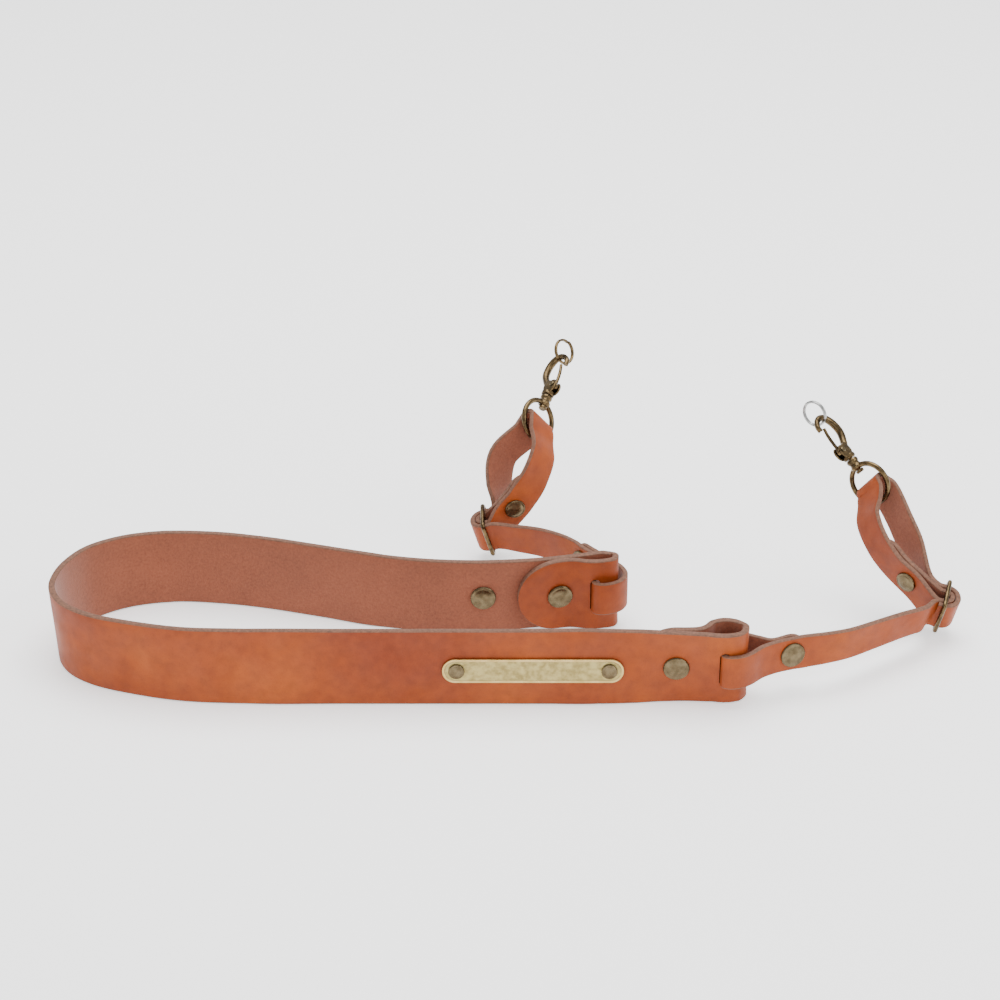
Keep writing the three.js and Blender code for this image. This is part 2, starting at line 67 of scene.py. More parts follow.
SIDES = {
    "right": {
        "grain": 1, "slider": Vector((209, -140, 15)), "bar": Vector((0.14, -0.39, 0.91)),
        "deep": Vector((0.19, 0.98, 0)), "outward": Vector((1, 0, 0)), "eye": Vector((176.5, -101, 60.5)),
        "ring": Vector((154, -83, 84)), "near_to_far": Vector((0.62, 0.78, -0.02)),
        "loop_rivet": 2.75,
        "near": [(1.75, -1.135, 48), (1.79, -1.215, 39), (1.855, -1.275, 31), (1.955, -1.345, 23)],
        "far": [(2.02, -1.27, 20), (1.975, -1.17, 31), (1.92, -1.115, 43)],
        "fold": [(1.18, -1.902, 19), (1.11, -1.87, 19), (1.045, -1.862, 19), (1.016, -1.878, 19),
                 (1.009, -1.91, 19), (1.009, -2.05, 19), (1.014, -2.08, 19), (1.04, -2.09, 19),
                 (1.09, -2.082, 19), (1.135, -2.05, 19)],
        "joined": [(1.19, -1.99, 19), (1.25, -1.95, 19), (1.33, -1.915, 19), (1.41, -1.888, 19)],
        "run": [(1.5, -1.862, 19), (1.6, -1.815, 18.5), (1.73, -1.725, 18), (1.86, -1.632, 17.5),
                (1.97, -1.55, 16.5)],
    },
    "left": {
        "grain": -1, "slider": Vector((-6, -62, 15)), "bar": Vector((-0.27, -0.2, 0.93)),
        "deep": Vector((0.05, 0.99, 0)), "outward": Vector((-1, 0, 0)), "eye": Vector((18.8, -38.3, 64)),
        "ring": Vector((31.1, -6.9, 84)), "near_to_far": Vector((-0.73, 0.55, -0.42)),
        "loop_rivet": 2.45,
        "near": [(0.21, -0.555, 54), (0.17, -0.615, 44), (0.105, -0.63, 33), (0.03, -0.635, 23)],
        "far": [(0.005, -0.54, 21), (-0.005, -0.49, 34), (0.015, -0.455, 48)],
        "fold": [(0.515, -1.145, 19), (0.575, -1.22, 19), (0.594, -1.3, 19), (0.56, -1.37, 19),
                 (0.49, -1.402, 19), (0.452, -1.392, 19), (0.443, -1.36, 19), (0.443, -1.25, 19),
                 (0.45, -1.21, 19)],
        "joined": [(0.468, -1.155, 19), (0.445, -1.09, 19), (0.4, -1.02, 18.5), (0.35, -0.945, 18.5)],
        "run": [(0.29, -0.87, 18), (0.2, -0.79, 17), (0.1, -0.735, 16)],
    },
}


def square_to(v, unit):
    return (v - unit * v.dot(unit)).normalized()


for side in SIDES.values():
    side["bar"] = side["bar"].normalized()
    side["deep"] = square_to(side["deep"], side["bar"])
    side["out"] = side["deep"].cross(side["bar"])
    if side["out"].dot(side["outward"]) < 0:
        side["out"].negate()
    side["axis"] = (side["ring"] - side["eye"]).normalized()
    side["near_to_far"] = square_to(side["near_to_far"], side["axis"])
    side["across"] = side["axis"].cross(side["near_to_far"])
    if side["across"].z < 0:
        side["across"].negate()
ORIGIN = SIDES["right"]["eye"] + SIDES["right"]["axis"] * RING_AT


def framed(p):
    """A point given in millimetres above the table, in the frame's metres."""
    return (p - ORIGIN) * MM


print("origin above the table, mm", [round(c, 2) for c in ORIGIN])

# %% [markdown]
# The photograph was taken with a long lens from 27 degrees above the table. A long lens keeps the two
# arms of the strap nearly the same size, so the lens and the distance are set from how tall each arm
# looks.

# %% Camera
ELEVATION = math.radians(27)
LENS_MM, SENSOR_MM, DISTANCE_MM = 108, 36, 1549
camera_data = bpy.data.cameras.new("camera")
camera_data.lens, camera_data.sensor_width = LENS_MM, SENSOR_MM
camera = bpy.data.objects.new("camera", camera_data)
bpy.context.scene.collection.objects.link(camera)
back_off = Vector((0, -math.cos(ELEVATION), math.sin(ELEVATION))) * DISTANCE_MM
camera.location = framed(back_off)
camera.rotation_euler = (math.pi / 2 - ELEVATION, 0, 0)
bpy.context.scene.camera = camera
print("camera at", [round(c, 3) for c in camera.location])

# %% [markdown]
# A plain pale floor and broad, soft lights, as in a studio with large diffusers: one big light above, one
# from the right, a weak one in front, and a bright surrounding for the metal to reflect.

# %% Floor and lights
FLOOR_SIZE = 6
FLOOR_BELOW_MM = 0.3
PAPER_WHITE = (0.98, 0.98, 0.98, 1)
PAPER_ROUGHNESS, PAPER_GLOW = 0.7, 0.7
floor_mesh = bpy.data.meshes.new("floor")
corners = [(-1, -1), (1, -1), (1, 1), (-1, 1)]
table_z = framed(Vector((0, 0, -FLOOR_BELOW_MM))).z
floor_mesh.from_pydata([(x * FLOOR_SIZE, y * FLOOR_SIZE, table_z) for x, y in corners], [], [(0, 1, 2, 3)])
floor = bpy.data.objects.new("floor", floor_mesh)
bpy.context.scene.collection.objects.link(floor)
paper = bpy.data.materials.new("paper")
paper.use_nodes = True
paper_shader = paper.node_tree.nodes["Principled BSDF"]
paper_shader.inputs["Base Color"].default_value = PAPER_WHITE
paper_shader.inputs["Roughness"].default_value = PAPER_ROUGHNESS
paper_shader.inputs["Emission Color"].default_value = (1, 1, 1, 1)
paper_shader.inputs["Emission Strength"].default_value = PAPER_GLOW
floor_mesh.materials.append(paper)


def soft_light(name, at, aim, size, power):
    data = bpy.data.lights.new(name, "AREA")
    data.size, data.energy = size, power
    light = bpy.data.objects.new(name, data)
    light.location = at
    light.rotation_euler = (Vector(aim) - Vector(at)).to_track_quat("-Z", "Y").to_euler()
    bpy.context.scene.collection.objects.link(light)


soft_light("overhead", (-0.1, 0.3, 1.3), (-0.1, 0, -0.1), 1.3, 30)
soft_light("right_window", (1.0, -0.6, 0.8), (-0.1, 0, -0.08), 0.7, 7)
soft_light("front_fill", (-0.2, -1.6, 0.5), (-0.15, 0, -0.08), 1.0, 6)
world = bpy.data.worlds.new("studio")
world.use_nodes = True
world.node_tree.nodes["Background"].inputs["Color"].default_value = (1, 1, 1, 1)
world.node_tree.nodes["Background"].inputs["Strength"].default_value = 1.0
bpy.context.scene.world = world
print("floor at", round(table_z, 4), "m")

# %% [markdown]
# Finishes share a few steps: a speckle of noise, a ramp that turns it into colour, and a bump that turns
# it into relief. Each helper adds one such step to a material. The pattern and colour helpers return the
# socket that carries it on, and the bump goes straight to the shader.

# %% Helpers for finishes
def start_finish(name, roughness, metallic=0.0):
    finish = bpy.data.materials.new(name)
    finish.use_nodes = True
    shader = finish.node_tree.nodes["Principled BSDF"]
    shader.inputs["Roughness"].default_value = roughness
    shader.inputs["Metallic"].default_value = metallic
    return finish, finish.node_tree, shader


def speckle(tree, size_mm, detail):
    """Cloudy noise whose patches are about size_mm across."""
    where = tree.nodes.new("ShaderNodeTexCoord")
    texture = tree.nodes.new("ShaderNodeTexNoise")
    texture.inputs["Scale"].default_value = 1 / (size_mm * MM)
    texture.inputs["Detail"].default_value = detail
    tree.links.new(where.outputs["Object"], texture.inputs["Vector"])
    return texture.outputs[0]


def cells(tree, size_mm):
    """Rounded cells about size_mm across, dark in the middle, as the pores of leather are."""
    where = tree.nodes.new("ShaderNodeTexCoord")
    texture = tree.nodes.new("ShaderNodeTexVoronoi")
    texture.inputs["Scale"].default_value = 1 / (size_mm * MM)
    tree.links.new(where.outputs["Object"], texture.inputs["Vector"])
    return texture.outputs[0]


def ramp(tree, value, stops):
    node = tree.nodes.new("ShaderNodeValToRGB")
    while len(node.color_ramp.elements) < len(stops):
        node.color_ramp.elements.new(0.5)
    for element, (at, color) in zip(node.color_ramp.elements, stops):
        element.position = at
        element.color = (*color, 1)
    tree.links.new(value, node.inputs["Fac"])
    return node.outputs["Color"]


def darken(tree, amount, color, shade):
    """Multiplies a colour by a shade, as far as the amount says."""
    node = tree.nodes.new("ShaderNodeMix")
    node.data_type, node.blend_type = "RGBA", "MULTIPLY"
    node.inputs["Factor"].default_value = amount
    tree.links.new(color, node.inputs[6])
    tree.links.new(shade, node.inputs[7])
    return node.outputs[2]


def relief(tree, shader, height, depth_mm, strength):
    """Adds a bump; one that the shader has already is carried on through the new one."""
    node = tree.nodes.new("ShaderNodeBump")
    node.inputs["Strength"].default_value = strength
    node.inputs["Distance"].default_value = depth_mm * MM
    if shader.inputs["Normal"].links:
        tree.links.new(shader.inputs["Normal"].links[0].from_socket, node.inputs["Normal"])
    tree.links.new(height, node.inputs["Height"])
    tree.links.new(node.outputs["Normal"], shader.inputs["Normal"])


def grey(level):
    return (level, level, level)


# %% [markdown]
# The grain side is waxed, vegetable-tanned cowhide: orange-tan, cloudy where the dye took unevenly, with
# fine pores and a satin wax shine. Three patterns of different size give the clouds, the mottling and the
# pores.

# %% Grain, flesh and edge of the leather
def grain_finish():
    finish, tree, shader = start_finish("leather_grain", 0.48)
    shader.inputs["Specular IOR Level"].default_value = 0.28
    tans = [(0.3, (0.215, 0.031, 0.003)), (0.55, (0.29, 0.05, 0.004)), (0.75, (0.37, 0.075, 0.006))]
    clouds = ramp(tree, speckle(tree, 55, 4), tans)
    mottle = ramp(tree, speckle(tree, 5, 4), [(0.3, grey(0.74)), (0.65, grey(1.0))])
    pores = ramp(tree, cells(tree, 0.9), [(0.05, grey(0.8)), (0.4, grey(1.0))])
    color = darken(tree, 0.75, darken(tree, 0.8, clouds, mottle), pores)
    tree.links.new(color, shader.inputs["Base Color"])
    shine = ramp(tree, speckle(tree, 14, 3), [(0.3, grey(0.46)), (0.7, grey(0.64))])
    tree.links.new(shine, shader.inputs["Roughness"])
    relief(tree, shader, cells(tree, 0.8), 0.05, 0.5)
    relief(tree, shader, speckle(tree, 7, 5), 0.35, 0.35)
    return finish


def flesh_finish():
    finish, tree, shader = start_finish("leather_flesh", 0.92)
    nap = ramp(tree, speckle(tree, 1.1, 4), [(0.25, (0.215, 0.058, 0.024)), (0.75, (0.31, 0.09, 0.04))])
    patches = ramp(tree, speckle(tree, 28, 3), [(0.3, grey(0.78)), (0.7, grey(1.0))])
    tree.links.new(darken(tree, 0.8, nap, patches), shader.inputs["Base Color"])
    shader.inputs["Sheen Weight"].default_value = 0.25
    relief(tree, shader, speckle(tree, 0.7, 4), 0.18, 0.7)
    return finish


def edge_finish():
    finish, tree, shader = start_finish("leather_edge", 0.75)
    fibres = ramp(tree, speckle(tree, 1.2, 4), [(0.3, (0.1, 0.045, 0.026)), (0.7, (0.2, 0.085, 0.047))])
    tree.links.new(fibres, shader.inputs["Base Color"])
    relief(tree, shader, speckle(tree, 0.8, 4), 0.15, 0.7)
    return finish


leather_finishes = [grain_finish(), edge_finish(), flesh_finish()]
print("leather finishes", [f.name for f in leather_finishes])

# %% [markdown]
# The metal is old: rivets in a dull grey-green brass, hooks and sliders in an antique brass that is dark
# in the hollows and bright where it rubs, a pale brass plate, and steel split rings, of which the left
# one is given the hooks' brass as painted shade.

# %% Metal finishes
def metal_finish(name, dark, bright, roughness, patch_mm=2.5):
    finish, tree, shader = start_finish(name, roughness, 1.0)
    patina = ramp(tree, speckle(tree, patch_mm, 5), [(0.35, dark), (0.62, bright)])
    tree.links.new(patina, shader.inputs["Base Color"])
    rubbed, tarnished = grey(roughness - 0.08), grey(roughness + 0.14)
    dull = ramp(tree, speckle(tree, patch_mm * 0.7, 4), [(0.3, rubbed), (0.7, tarnished)])
    tree.links.new(dull, shader.inputs["Roughness"])
    relief(tree, shader, speckle(tree, 0.6, 3), 0.03, 0.4)
    return finish


rivet_metal = metal_finish("aged_rivet_brass", (0.085, 0.062, 0.033), (0.15, 0.115, 0.064), 0.28, 3.5)
hardware_metal = metal_finish("antique_brass", (0.055, 0.038, 0.02), (0.15, 0.102, 0.048), 0.24, 3.5)
plate_metal = metal_finish("pale_plate_brass", (0.46, 0.33, 0.12), (0.57, 0.42, 0.18), 0.3, 5)
field_metal = metal_finish("mottled_plate_field", (0.27, 0.21, 0.08), (0.42, 0.34, 0.14), 0.42, 2.6)
ring_metal = metal_finish("ring_steel", (0.25, 0.25, 0.245), (0.45, 0.45, 0.44), 0.22)
metals = [rivet_metal, hardware_metal, plate_metal, field_metal, ring_metal]
print("metal finishes", [f.name for f in metals])

# %% [markdown]
# A flat strap is a long rectangle that is swept along a smooth route. Each station of the route says
# where the strap's middle is and which way is across it; a Catmull-Rom spline runs through the stations,
# so few are needed.

# %% A smooth route through stations
SAME_POINT = 1e-4
LOOK_AHEAD = 0.001


def smooth(points, index):
    """The centripetal Catmull-Rom spline through the points, at a station number that may be a fraction."""
    last = len(points) - 1
    i = min(int(index), last - 1)
    w = index - i
    p1, p2 = points[i], points[i + 1]
    p0 = points[i - 1] if i > 0 else p1 * 2 - p2
    p3 = points[i + 2] if i + 2 <= last else p2 * 2 - p1
    d1 = math.sqrt((p1 - p2).length)
    d1 = d1 if d1 > SAME_POINT else 1.0
    d0 = math.sqrt((p0 - p1).length)
    d0 = d0 if d0 > SAME_POINT else d1
    d2 = math.sqrt((p2 - p3).length)
    d2 = d2 if d2 > SAME_POINT else d1
    t1 = ((p1 - p0) / d0 - (p2 - p0) / (d0 + d1) + (p2 - p1) / d1) * d1
    t2 = ((p2 - p1) / d1 - (p3 - p1) / (d1 + d2) + (p3 - p2) / d2) * d1
    return p1 + t1 * w + (p1 * -3 + p2 * 3 - t1 * 2 - t2) * w**2 + (p1 * 2 - p2 * 2 + t1 + t2) * w**3


class Route:
    """The way a strap takes, from stations that each give a place and the direction across the strap."""

    def __init__(self, stations):
        self.places = [at for at, _ in stations]
        self.edges = [edge.normalized() for _, edge in stations]
        self.last = len(stations) - 1

    def frame(self, index):
        """Where the strap's middle is, the way along it, across it, and out of its face."""
        low, high = max(0, index - LOOK_AHEAD), min(self.last, index + LOOK_AHEAD)
        along = (smooth(self.places, high) - smooth(self.places, low)).normalized()
        edge = square_to(smooth(self.edges, index), along)
        return smooth(self.places, index), along, edge, along.cross(edge)


corner = [Vector((0, 0, 0)), Vector((10, 0, 0)), Vector((10, 10, 0))]
print("halfway to a corner the spline is at", [round(c, 2) for c in smooth(corner, 0.5)])

# %% [markdown]
# The leather's cross-section is a rectangle with softened corners: the grain side, two cut edges and the
# flesh side each keep their own finish.

# %% The leather's section
CORNER_MM, FACE_POINTS, CORNER_POINTS = 0.55, 8, 4
GRAIN, EDGE, FLESH = 0, 1, 2


def strap_outline(width, thick):
    """The section as (across, through, finish of the stretch that follows), grain side first."""
    a, b = width / 2, thick / 2
    flat = [-(a - CORNER_MM) + 2 * (a - CORNER_MM) * i / FACE_POINTS for i in range(FACE_POINTS)]
    points = [(u, b, GRAIN) for u in flat]
    for quarter in range(2):
        turn = -quarter * math.pi / 2
        center = Vector((a - CORNER_MM, (b - CORNER_MM) * (1 if quarter == 0 else -1)))
        for i in range(CORNER_POINTS):
            angle = math.pi / 2 + turn - i / CORNER_POINTS * math.pi / 2
            over, through = CORNER_MM * math.cos(angle), CORNER_MM * math.sin(angle)
            points.append((center.x + over, center.y + through, EDGE))
    half = [(-u, -v, FLESH if kind == GRAIN else EDGE) for u, v, kind in points]
    return points + half


print("points round a strap", 2 * (FACE_POINTS + 2 * CORNER_POINTS))

# %% [markdown]
# Nearly every piece is built from rings of vertices that are joined by bands of faces. The next two
# helpers do that, and make the result a finished object: its finishes, its shading, the body that it
# rides on, and the plain solid whose place it takes.

# %% From rings to a finished piece
SHARP_DEGREES = 35


def stitch(bm, rings, kinds=None, closed=False):
    """Joins each ring of vertices to the next by a band of faces; kinds gives each face its finish."""
    pairs = list(zip(rings, rings[1:])) + ([(rings[-1], rings[0])] if closed else [])
    for one, two in pairs:
        for k in range(len(one)):
            m = (k + 1) % len(one)
            patch = bm.faces.new((one[k], one[m], two[m], two[k]))
            if kinds:
                patch.material_index = kinds[k]


def finish_object(name, bm, finishes, body, replaced):
    """Turns a bmesh into a piece: its finishes, smooth shading, body and the node that it replaces."""
    mesh = bpy.data.meshes.new(name)
    bmesh.ops.recalc_face_normals(bm, faces=bm.faces)
    bm.to_mesh(mesh)
    bm.free()
    for finish in finishes:
        mesh.materials.append(finish)
    piece = bpy.data.objects.new(name, mesh)
    bpy.context.scene.collection.objects.link(piece)
    mesh.shade_smooth()
    mesh.set_sharp_from_angle(angle=math.radians(SHARP_DEGREES))
    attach(piece, body)
    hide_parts(*replaced)
    return piece


# %% [markdown]
# A slow waviness across the face, and small creases at the tight folds, keep the leather from looking
# like sheet metal. Sections stand at even steps between stations, and closer at both ends, where the
# strap is cut round.

# %% Sweeping the leather
WAVE_MM, WAVE_LENGTH_MM = 0.12, 16
CREASE_BOW_MM = 1.5
END_STATIONS = [0.0, 0.004, 0.015, 0.035, 0.07, 0.12, 0.2]
NARROWEST_END = 0.1


def crease_depth(s, u, radius, crease):
    """How deep a crease is at s along the strap and u across it; it bows, wanders and fades."""
    mark, depth, wide = crease
    bowed = s - mark - CREASE_BOW_MM * math.cos(u / radius * 1.4) + noise.noise(Vector((u / 5, mark, 0)))
    fade = 0.6 + 0.4 * noise.noise(Vector((u / 4, 9, mark)))
    return depth * math.exp(-((bowed / wide) ** 2)) * fade


def leather(route, width, thick, grain, steps, creases=()):
    """A bmesh of the strap. grain is the face's sign; a crease is (station, depth, width) in millimetres."""
    even = {i / steps for i in range(route.last * steps + 1)}
    indices = sorted(even | set(END_STATIONS) | {route.last - e for e in END_STATIONS})
    frames = [route.frame(i) for i in indices]
    run = [0.0]
    for before, after in zip(frames, frames[1:]):
        run.append(run[-1] + (after[0] - before[0]).length)
    radius = width / 2
    outline = strap_outline(width, thick)
    marks = []
    for station, depth, wide in creases:
        nearest = min(range(len(indices)), key=lambda k: abs(indices[k] - station))
        marks.append((run[nearest], depth, wide))

    def reach(from_end):
        """The share of the width that the rounded end leaves at this distance from it."""
        if from_end >= radius:
            return 1
        return max(NARROWEST_END, math.sqrt(radius**2 - (radius - from_end) ** 2) / radius)

    bm = bmesh.new()
    rings = []
    for s, (at, along, edge, face) in zip(run, frames):
        share = min(reach(s), reach(run[-1] - s))
        ring = []
        for u, v, _ in outline:
            p = at + edge * u * share + face * grain * v
            p += face * WAVE_MM * noise.noise(Vector((s, u, 0)) / WAVE_LENGTH_MM)
            if v > 0:
                for crease in marks:
                    p -= face * grain * crease_depth(s, u, radius, crease)
            ring.append(bm.verts.new(framed(p)))
        rings.append(ring)
    stitch(bm, rings, [kind for _, _, kind in outline])
    for ring in (rings[0], rings[-1]):
        bm.faces.new(ring).material_index = EDGE
    return bm, len(rings)


# %% [markdown]
# The neck strap is one broad piece of leather. It stands on edge in a long U, and each end is folded back
# on itself and riveted, which leaves a loop for the connector. Its stations are written in shares of the
# distance between the arms, with the lean of the top edge outwards in degrees.

# %% The neck strap's route
NECK_WIDTH, NECK_THICK, LAY_GAP = 38, 3, 0.4
FOLD_FRONT = [(0.91, -1.984, 8), (0.965, -1.928, 8), (1.02, -1.905, 8), (1.075, -1.925, 8), (1.108, -1.975, 8),
              (1.085, -2.03, 8), (1.03, -2.05, 8), (0.94, -2.04, 8)]
ARMS = [(0.84, -2.032, 7), (0.72, -2.03, 5), (0.62, -2.032, 2), (0.45, -2.034, 0), (0.2, -2.034, 0),
        (-0.1, -2.034, 0), (-0.4, -2.034, 0), (-0.75, -2.034, 0), (-1.15, -2.032, 0), (-1.45, -2.012, 1),
        (-1.7, -1.946, 2), (-1.88, -1.87, 3), (-2, -1.765, 4), (-2.06, -1.63, 4), (-2.06, -1.5, 4),
        (-2.025, -1.365, 3), (-1.95, -1.235, 2), (-1.8, -1.13, 1), (-1.6, -1.078, 0), (-1.35, -1.09, 0),
        (-1.1, -1.145, 0), (-0.85, -1.225, 0), (-0.55, -1.322, 0), (-0.3, -1.366, -1), (-0.08, -1.372, -2),
        (0.08, -1.354, -4), (0.2, -1.334, -5), (0.33, -1.305, -5)]
FOLD_BACK = [(0.42, -1.282, -5), (0.49, -1.266, -5), (0.542, -1.292, -5), (0.535, -1.328, -5),
             (0.47, -1.352, -5), (0.41, -1.352, -5)]
UP = Vector((0, 0, 1))
LAPPED = 3  # stations of the arm that each folded end lies over


def neck_route():
    """The route from the end of the front fold, round the far bend, to the end of the back fold."""
    rows = FOLD_FRONT + ARMS + FOLD_BACK
    flat = [Vector((x, y, 0)) * SPREAD for x, y, _ in rows]
    outward, made = [], []
    for i, (_, _, lean) in enumerate(rows):
        along = (flat[min(i + 1, len(flat) - 1)] - flat[max(i - 1, 0)]).normalized()
        outward.append(-along.cross(UP))
        leaning = outward[i]
        if i < len(FOLD_FRONT):
            leaning = Vector((0, -1, 0))
        elif i >= len(rows) - len(FOLD_BACK):
            leaning = Vector((0, 1, 0))
        tilt = math.radians(lean)
        made.append((flat[i] + UP * NECK_WIDTH / 2, UP * math.cos(tilt) + leaning * math.sin(tilt)))
    layer = NECK_THICK + LAY_GAP

    def on_arm(i):
        return made[i][0] - outward[i] * layer, made[i][1]

    start, stop = len(FOLD_FRONT), len(rows) - len(FOLD_BACK) - 1
    front_lap = [on_arm(start + k) for k in reversed(range(LAPPED))]
    back_lap = [on_arm(stop - k) for k in range(LAPPED)]
    return Route([*front_lap, *made, *back_lap])


neck = neck_route()
arm_start = LAPPED + len(FOLD_FRONT)
arm_stop = arm_start + len(ARMS) - 1
print("neck strap stations", neck.last + 1)

# %% [markdown]
# The slots for the connector are punched through both layers of each fold. A boolean with a rounded block
# is the quickest honest way: the block carries the edge finish, so the walls of the cut look like cut
# leather.

# %% The neck strap with its slots
SLOT_LENGTH, SLOT_BREADTH, SLOT_DEEP, SLOT_POINTS = 17.9, 4.8, 26, 24
SLOT_PLACES = [(1.016, -1.975), (0.45, -1.315)]
NECK_GRAIN, NECK_STEPS = -1, 10
NECK_CREASES = [(8.1, 0.25, 0.8), (8.9, 0.3, 0.7), (9.35, 0.22, 0.6), (40.3, 0.2, 0.8), (42.6, 0.25, 0.7)]


def slot_block(x, y):
    """A long block with round ends, standing where the connector passes through the fold."""
    bm = bmesh.new()
    rings = []
    for depth in (-SLOT_DEEP / 2, SLOT_DEEP / 2):
        ring = []
        for i in range(SLOT_POINTS):
            angle = 2 * math.pi * i / SLOT_POINTS
            dx = math.cos(angle) * SLOT_BREADTH / 2
            dz = math.sin(angle) * SLOT_BREADTH / 2
            dz += math.copysign(SLOT_LENGTH / 2 - SLOT_BREADTH / 2, dz + 1e-9)
            ring.append(bm.verts.new(framed(Vector((x + dx, y + depth, NECK_WIDTH / 2 + dz)))))
        rings.append(ring)
    stitch(bm, rings)
    bm.faces.new(rings[0])
    bm.faces.new(rings[1])
    bmesh.ops.recalc_face_normals(bm, faces=bm.faces)
    mesh = bpy.data.meshes.new("slot_block")
    bm.to_mesh(mesh)
    bm.free()
    mesh.materials.append(leather_finishes[EDGE])
    block = bpy.data.objects.new("slot_block", mesh)
    bpy.context.scene.collection.objects.link(block)
    return block


def punch(piece, blocks):
    """Cuts the blocks out of the piece for good, and takes them away."""
    for block in blocks:
        cut = piece.modifiers.new("slot", "BOOLEAN")
        cut.object = block
        cut.operation = "DIFFERENCE"
        cut.solver = "EXACT"
        cut.material_mode = "TRANSFER"
    depsgraph = bpy.context.evaluated_depsgraph_get()
    result = bpy.data.meshes.new_from_object(piece.evaluated_get(depsgraph))
    piece.modifiers.clear()
    piece.data = result
    for block in blocks:
        bpy.data.objects.remove(block)


bm, sections = leather(neck, NECK_WIDTH, NECK_THICK, NECK_GRAIN, NECK_STEPS, NECK_CREASES)
neck_piece = finish_object("neck_strap_leather", bm, leather_finishes, "strap", ["neck_strap"])
punch(neck_piece, [slot_block(x * SPREAD, y * SPREAD) for x, y in SLOT_PLACES])
print("neck strap", sections, "sections,", len(neck_piece.data.polygons), "faces")

# %% [markdown]
# A connector is a narrow strap that passes through the fold's two slots, runs to the slider, turns round,
# goes up through the eye ring and comes back down, where its end wraps the slider's middle bar and is
# riveted.

# %% The connectors' routes
BAND_WIDTH, BAND_THICK = 16.5, 2.4
SLIDER_RAIL, SLIDER_BAR = 2.2, 2
WRAP_PLAY, LOOP_PLAY = 0.4, 0.7
WRAP_RADIUS = SLIDER_BAR / 2 + LAY_GAP + BAND_THICK / 2 + WRAP_PLAY
TURN_RADIUS = WRAP_RADIUS + BAND_THICK + LAY_GAP
SLIDER_HOLE = TURN_RADIUS + BAND_THICK / 2 + LAY_GAP
LOOP_RADIUS = EYE_WIRE / 2 + LAY_GAP + BAND_THICK / 2 + LOOP_PLAY
LOOP_DROP = 3.5
HALF_TURN = (0, 45, 90, 135, 180)
TIGHT_TURN = (0, 60, 120, 180)
STRAIGHT_IN, STRAIGHT_OUT, LOOP_FLARE = 4, 3, 1.5
NEAR_TWIST = (0.75, 0.45, 0.12, 0.12)
FAR_TWIST = (0.2, 0.45, 0.7)
LAP_ROWS = (3, 2, 1)
SHARE_DOWN = 0.4
FOLD_RIVET = 2  # stations past the fold's last one


def connector_route(side):
    """The whole route of a connector, and the seats of its two rivets."""

    def plain(row, edge):
        return Vector((row[0] * SPREAD, row[1] * SPREAD, row[2])), edge

    def beside(rows, i, sign):
        """A station one layer beside another, for the end that is riveted onto the strap itself."""
        along = (rows[min(i + 1, len(rows) - 1)][0] - rows[max(i - 1, 0)][0]).normalized()
        return rows[i][0] + along.cross(rows[i][1]).normalized() * sign * (BAND_THICK + LAY_GAP), rows[i][1]

    def wrap(radius, degrees, lift=0):
        """A station on the turn round the slider's middle bar."""
        angle = math.radians(degrees)
        at = side["slider"] - side["deep"] * radius * math.cos(angle)
        return at + side["out"] * (radius * math.sin(angle) + lift), side["bar"]

    def loop(degrees, along=0, across=0):
        """A station on the turn through the eye ring."""
        angle = math.radians(degrees)
        at = side["eye"] + side["near_to_far"] * (LOOP_RADIUS * math.cos(angle) + across)
        return at + side["axis"] * (LOOP_RADIUS * math.sin(angle) - LOOP_DROP + along), side["across"]

    def hang(row, share):
        """A station between slider and eye ring, twisted from the one's bar towards the other's width."""
        return plain(row, side["bar"].lerp(side["across"], share))

    joined = [plain(row, UP) for row in side["joined"]]
    to_fold = plain(side["fold"][0], UP)[0] - joined[0][0]
    sign = math.copysign(1, (joined[1][0] - joined[0][0]).cross(UP).dot(to_fold))
    turns = [(i + 1) / (len(side["run"]) + 1) for i in range(len(side["run"]))]
    runs = [plain(row, UP.lerp(side["bar"], share)) for row, share in zip(side["run"], turns)]
    near = [hang(row, share) for row, share in zip(side["near"], NEAR_TWIST)]
    before = [beside(joined, i, sign) for i in LAP_ROWS]
    before += [plain(row, UP) for row in side["fold"]] + joined + runs
    before += [wrap(TURN_RADIUS, 0, -STRAIGHT_IN), *(wrap(TURN_RADIUS, d) for d in HALF_TURN)]
    before += [wrap(TURN_RADIUS, 180, -STRAIGHT_IN)]
    before += [hang(row, share) for row, share in zip(side["far"], FAR_TWIST)]
    down = loop(180)[0].lerp(near[0][0], SHARE_DOWN), side["across"]
    before += [loop(0, -STRAIGHT_IN, LOOP_FLARE), *(loop(d) for d in HALF_TURN), down]
    goal = plain(side["far"][1], UP)[0]
    inner = []
    for i in LAP_ROWS:
        inner.append(min((beside(near, i, 1), beside(near, i, -1)), key=lambda s: (s[0] - goal).length))
    after = [wrap(WRAP_RADIUS, 0, -STRAIGHT_IN), *(wrap(WRAP_RADIUS, d) for d in TIGHT_TURN)]
    after += [wrap(WRAP_RADIUS, 180, -STRAIGHT_OUT)]
    route = Route(before + near + after + inner)
    fold_at = len(LAP_ROWS) + len(side["fold"]) + FOLD_RIVET
    loop_at = len(before) + side["loop_rivet"]
    seats = []
    for index, beyond in ((fold_at, before[1][0]), (loop_at, inner[1][0])):
        at, along, edge, face = route.frame(index)
        shift = math.copysign((BAND_THICK + LAY_GAP) / 2, face.dot(beyond - at))
        seats.append((at + face * shift, edge, face))
    return route, seats


# %% [markdown]
# Both connectors are swept as the neck strap was, with fewer sections between stations, since theirs lie
# closer together. The seats of their rivets come back with the route, so that each rivet sits square on
# its leather.

